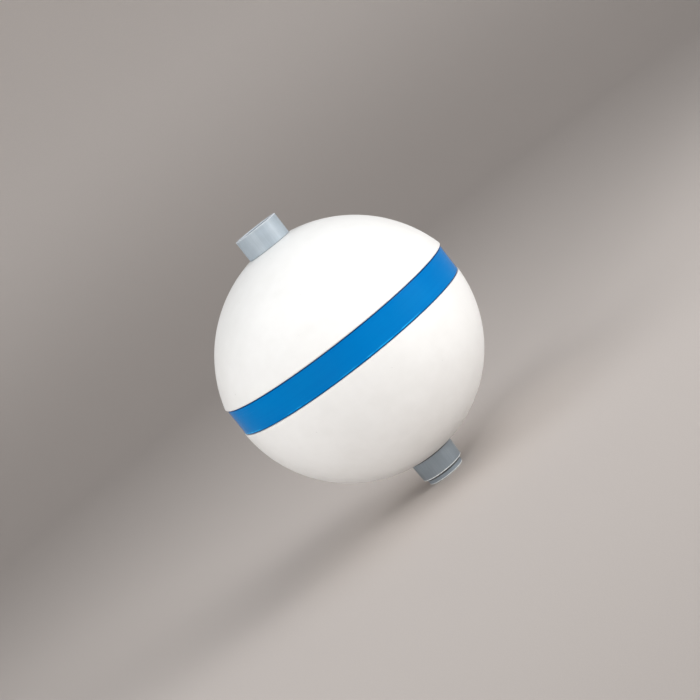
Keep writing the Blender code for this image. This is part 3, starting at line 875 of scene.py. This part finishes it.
def buildRods():
    low, high, _ = span("guide_rod_1")
    bodyHigh = holderLow - seamGap
    bodyLow = span("cage_ring")[1] + seamGap
    thread = {"radius": rod["end"], "pitch": rod["pitch"], "depth": rod["depth"],
              "span": (low + seamGap, high - seamGap)}
    items = [
        (0, high), (rod["end"], high, 0.4), (rod["end"], bodyHigh, 0.1), (rod["body"], bodyHigh, 0.4),
        (rod["body"], bodyLow, 0.4), (rod["end"], bodyLow, 0.1), (rod["end"], low, 0.4), (0, low)]
    master = turnPiece("guide_rod", items, steelMaterial, 32, closed=False, thread=thread, longest=6.0)
    names = ["guide_rod_%d" % (i + 1) for i in range(rod["count"])]
    piece = standOnCircle(master, "guide_rods", rod["count"], rod["circle"], math.pi / 4, 0.0, 1,
                          steelMaterial)
    settle(piece, "stainless_steel", *names)
    for seed, side in enumerate(("top", "bottom")):
        low, high, _ = span("rod_%s_nut_1" % side)
        corner, bevel, lead = nut["corner"], nut["bevel"], nut["leadIn"]
        tip = corner - nut["chamfer"]
        thread = {"radius": rod["hole"], "pitch": rod["pitch"], "depth": nut["threadDepth"],
                  "span": (low - past["smallThread"], high + past["smallThread"])}
        items = [
            (tip, high, 0.1), (corner, high - bevel, 0.1), (corner, low + bevel, 0.1), (tip, low, 0.1),
            (rod["hole"] + lead, low), (rod["hole"], low + lead),
            (rod["hole"], high - lead), (rod["hole"] + lead, high)]
        master = turnPiece("rod_nut", items, steelMaterial, 48, thread=thread,
                           hexed=(corner * math.sqrt(3), corner - 1.0, corner))
        names = ["rod_%s_nut_%d" % (side, i + 1) for i in range(rod["count"])]
        piece = standOnCircle(master, "rod_%s_nuts" % side, rod["count"], rod["circle"], math.pi / 4,
                              math.tau, 11 + seed, steelMaterial)
        settle(piece, "stainless_steel", *names)


def flatOutline(curve, points):
    spline = curve.splines.new("POLY")
    spline.points.add(len(points) - 1)
    for slot, (x, y) in zip(spline.points, points):
        slot.co = (x * mm, y * mm, 0.0, 1.0)
    spline.use_cyclic_u = True


def ringOfPoints(radius, count, x=0.0, y=0.0):
    return [(x + radius * math.cos(math.tau * i / count), y + radius * math.sin(math.tau * i / count))
            for i in range(count)]


def windowPoints(index):
    # one opening between two arms, with rounded corners
    corners = []
    for radius, flip, steps in ((cage["inner"], False, 36), (cage["hub"], True, 20)):
        inset = math.asin(cage["arm"] / radius)
        sweep = math.tau / 4 - 2 * inset
        arc = []
        for i in range(steps + 1):
            along = i / steps if flip else 1 - i / steps
            angle = math.tau * (index + 0.5) / 4 + inset + sweep * along
            arc.append((radius * math.cos(angle), radius * math.sin(angle)))
        corners.append(arc)
    points = []
    for arc, other in ((corners[0], corners[1]), (corners[1], corners[0])):
        points += roundCorner(other[-1], arc[0], arc[2], cage["corner"], 6)
        points += arc[2:-2]
    return points


def buildCage():
    v = cage
    low, high, _ = span("cage_ring")
    curve = bpy.data.curves.new("cage_plan", "CURVE")
    curve.dimensions = "2D"
    curve.fill_mode = "BOTH"
    curve.extrude = ((high - low) / 2 - v["edge"]) * mm
    curve.bevel_depth = v["edge"] * mm
    curve.bevel_resolution = 3
    curve.offset = -v["edge"] * mm
    flatOutline(curve, ringOfPoints(v["rim"], 180))
    flatOutline(curve, ringOfPoints(v["bore"], 96))
    for index in range(4):
        flatOutline(curve, windowPoints(index))
        angle = math.tau * (index + 0.5) / 4
        flatOutline(curve, ringOfPoints(rod["hole"], 32, rod["circle"] * math.cos(angle),
                                        rod["circle"] * math.sin(angle)))
    plan = bpy.data.objects.new("cage_plan", curve)
    bpy.context.scene.collection.objects.link(plan)
    depsgraph = bpy.context.evaluated_depsgraph_get()
    mesh = bpy.data.meshes.new_from_object(plan.evaluated_get(depsgraph))
    bpy.data.objects.remove(plan)
    mesh.transform(Matrix.Translation((0, 0, (low + high) / 2 * mm)))
    mesh.materials.clear()
    mesh.materials.append(blackMaterial)
    piece = bpy.data.objects.new("cage_ring_plate", mesh)
    bpy.context.scene.collection.objects.link(piece)
    settle(tidyMesh(piece), "black_moulding", "cage_ring")

    padLow, padTop, padRadius = span("rest_pad")
    items = [
        (pad["edge"], padTop, 0.3), (padRadius, padTop, 0.6), (padRadius, high + seamGap, 0.3),
        (v["bore"] - seamGap, high + seamGap, 0.2), (v["bore"] - seamGap, padLow, 0.4),
        (pad["bore"], padLow, 0.4), (pad["bore"], padTop - pad["edgeDepth"], 0.4)]
    settle(turnPiece("rest_pad_ring", items, rubberMaterial, 128), "black_rubber", "rest_pad")


buildRods()
buildCage()
print("cage done")


ball = {"wall": 2.5, "lip": 3.0}


def buildFloat():
    v = ball
    radius = span("float_upper_half")[2]
    bottom = span("float_lower_half")[0]
    middle = bottom + radius
    finish = makeFloatMaterial(middle * mm)
    inner = radius - v["wall"]
    seam = seamGap / 2
    start = latitude(radius, 0, seam)
    outer = [(r, middle + z) for r, z in arcPoints((0, 0), radius, 90, start, 64)]
    wall = [(r, middle + z) for r, z in arcPoints((0, 0), inner, latitude(inner, 0, seam), 90, 48)]
    piece = turnPiece("float_upper_shell", [outer, wall], finish, 160, closed=False)
    settle(piece, "float_plastic", "float_upper_half", body="float")

    lipRadius = inner - 0.6
    lipInner = lipRadius - v["wall"]
    turnIn = -math.degrees(math.acos(lipInner / inner))
    wall = [(r, middle + z) for r, z in arcPoints((0, 0), inner, -90, turnIn, 48)]
    outer = [(r, middle + z) for r, z in arcPoints((0, 0), radius, -start, -90, 64)]
    items = [wall, (lipInner, middle + v["lip"], 0.5), (lipRadius, middle + v["lip"], 0.5),
             (lipRadius, middle - seam, 0.1), outer]
    piece = turnPiece("float_lower_shell", items, finish, 160, closed=False)
    settle(piece, "float_plastic", "float_lower_half", body="float")


buildFloat()
print("float done")


view = {
    "distance": 2.331, "above": 7.20, "roll": 38.10, "lens": 97.6,
    "shift": (0.000986, -0.002586),
}
middle = Vector((0, 0, bowl["centre"] * mm))


def viewAxes():
    # the camera's right, up and back directions
    above = math.radians(view["above"])
    roll = math.radians(view["roll"])
    back = Vector((0, -math.cos(above), math.sin(above)))
    level = Vector((0, math.sin(above), math.cos(above)))
    side = Vector((1, 0, 0))
    up = math.cos(roll) * level + math.sin(roll) * side
    right = -math.sin(roll) * level + math.cos(roll) * side
    return right, up, back


def facing(right, up, back, place):
    turned = Matrix((right, up, back)).transposed().to_4x4()
    return Matrix.Translation(place) @ turned


def buildCamera():
    right, up, back = viewAxes()
    data = bpy.data.cameras.new("viewer")
    data.lens = view["lens"]
    data.shift_x, data.shift_y = view["shift"]
    camera = bpy.data.objects.new("viewer", data)
    camera.matrix_world = facing(right, up, back, middle + back * view["distance"])
    bpy.context.scene.collection.objects.link(camera)
    bpy.context.scene.camera = camera


# a round paper floor that sweeps up into a wall; near is its colour on the level, far up the wall, painted
# paler as painted light where the lamps light the wall less
backdrop = {
    "radius": 4200.0, "sweep": 1600.0, "wall": 2600.0, "steps": 96,
    "near": (0.54, 0.494, 0.462), "far": (0.86, 0.80, 0.755), "fibre": (0.2, 0.18, 0.17),
}


def buildFloor():
    v = backdrop
    profile = [(0.0, 0.0)] + [(r, 0.0) for r in (200, 600, 1400, 2600)]
    profile += arcPoints((v["radius"] - v["sweep"], v["sweep"]), v["sweep"], -90, 0, 24)
    profile.append((v["radius"], v["wall"]))
    steps = v["steps"]
    points, faces = [(0.0, 0.0, 0.0)], []
    for r, z in profile[1:]:
        for i in range(steps):
            angle = math.tau * i / steps
            points.append((r * math.cos(angle) * mm, r * math.sin(angle) * mm, z * mm))
    for i in range(steps):
        faces.append((0, 1 + i, 1 + (i + 1) % steps))
    for j in range(len(profile) - 2):
        for i in range(steps):
            a, b = 1 + j * steps + i, 1 + j * steps + (i + 1) % steps
            faces.append((a, a + steps, b + steps, b))
    mesh = bpy.data.meshes.new("studio_floor")
    mesh.from_pydata(points, [], faces)
    mesh.shade_smooth()
    floor = bpy.data.objects.new("studio_floor", mesh)
    floor.location.z = -0.0003
    bpy.context.scene.collection.objects.link(floor)
    made, feed, coords = startMaterial("studio_paper")
    _, _, height = coords.xyz()
    paper = coords.noise(600.0, 3.0).ramp(0.3, 0.7)
    # painted light: the paper turns paler up the wall so that it looks as bright as the floor
    colour = height.ramp(0.0, 0.8).mix(v["near"], v["far"])
    feed("Base Color", (paper * 0.06).mix(colour, v["fibre"]))
    feed("Roughness", 0.9)
    mesh.materials.append(made)


lamps = {
    # place in the camera's frame (right, up, back) in metres, size in metres, power in watts, beam in degrees
    "overhead": {"place": (0.0, 2.2, 0.6), "size": (1.5, 1.5), "power": 4.5, "spread": 110.0},
    "side": {"place": (1.5, 1.7, 1.0), "size": (1.3, 1.3), "power": 16.3, "spread": 110.0},
    "right": {"place": (1.6, 0.4, 2.2), "size": (1.5, 1.5), "power": 4.2, "spread": 110.0},
    "left": {"place": (-2.2, 0.6, 0.6), "size": (1.5, 1.5), "power": 5.3, "spread": 110.0},
    "front": {"place": (-1.45, -1.1, 3.3), "size": (0.9, 0.9), "power": 11.0, "spread": 70.0},
    "low": {"place": (-1.9, -1.3, 1.5), "size": (0.6, 0.6), "power": 2.5, "spread": 90.0},
}
sky = {"colour": (0.95, 0.97, 1.0), "strength": 0.43}


def buildLamps():
    right, up, back = viewAxes()
    for name, v in lamps.items():
        data = bpy.data.lights.new(name, "AREA")
        data.shape = "RECTANGLE"
        data.size, data.size_y = v["size"]
        data.energy = v["power"]
        data.spread = math.radians(v["spread"])
        lamp = bpy.data.objects.new(name, data)
        x, y, z = v["place"]
        lamp.location = middle + right * x + up * y + back * z
        lamp.rotation_euler = (lamp.location - middle).to_track_quat("Z", "Y").to_euler()
        bpy.context.scene.collection.objects.link(lamp)
    world = bpy.data.worlds.new("studio")
    world.use_nodes = True
    background = world.node_tree.nodes["Background"]
    background.inputs["Color"].default_value = asColour(sky["colour"])
    background.inputs["Strength"].default_value = sky["strength"]
    bpy.context.scene.world = world
    bpy.context.scene.view_settings.view_transform = "Standard"


buildCamera()
buildFloor()
buildLamps()
print("camera, floor and light done")
